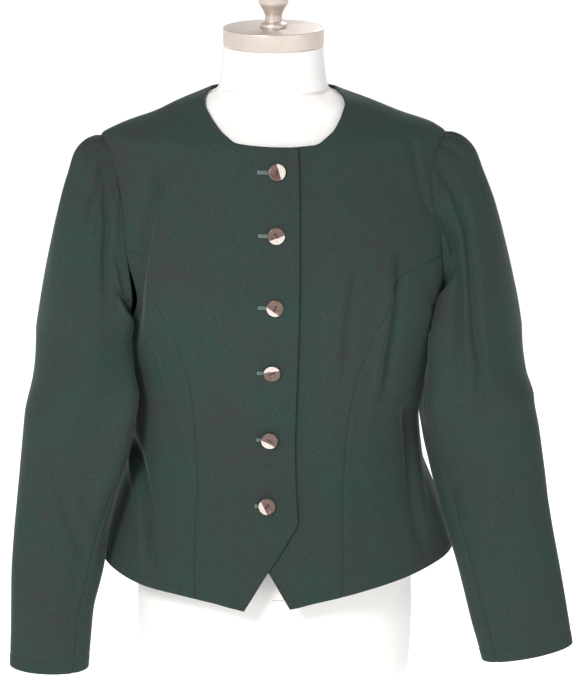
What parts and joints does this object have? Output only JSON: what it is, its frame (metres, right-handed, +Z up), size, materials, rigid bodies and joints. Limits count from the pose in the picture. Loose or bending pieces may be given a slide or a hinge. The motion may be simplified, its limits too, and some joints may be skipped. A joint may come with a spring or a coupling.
{
  "type": "collarless hunting jacket on a limbless dress form and stand",
  "caption": "Fitted collarless wool jacket with curved bust seams, gathered sleeve heads and a pointed front hem, buttoned on a limbless dress form on a round-based pole stand.",
  "frame": {"origin": "middle of the stand base's underside, on the form's own axis", "axes": "+Z up along the stand's pole, -Y out of the jacket's front, +X towards the wearer's left"},
  "size_m": [0.6455, 0.36, 1.438],
  "materials": {
    "wool": "fulled dark green wool cloth, matt with a short nap",
    "button_horn": "polished pinkish brown horn or a copy of it",
    "form_jersey": "smooth white jersey over a hard shell",
    "stand_metal": "satin, warm grey"
  },
  "bodies": {
    "root": {"front_right": "wool", "front_left": "wool", "side_front_right": "wool", "side_front_left": "wool", "side_back_right": "wool", "side_back_left": "wool", "back": "wool", "sleeve_upper_right": "wool", "sleeve_under_right": "wool", "sleeve_upper_left": "wool", "sleeve_under_left": "wool", "button_1": "button_horn", "button_2": "button_horn", "button_3": "button_horn", "button_4": "button_horn", "button_5": "button_horn", "button_6": "button_horn", "form_torso": "form_jersey", "neck_cap": "stand_metal", "finial": "stand_metal", "stand_pole": "stand_metal", "stand_base": "stand_metal"}
  },
  "joints": []
}
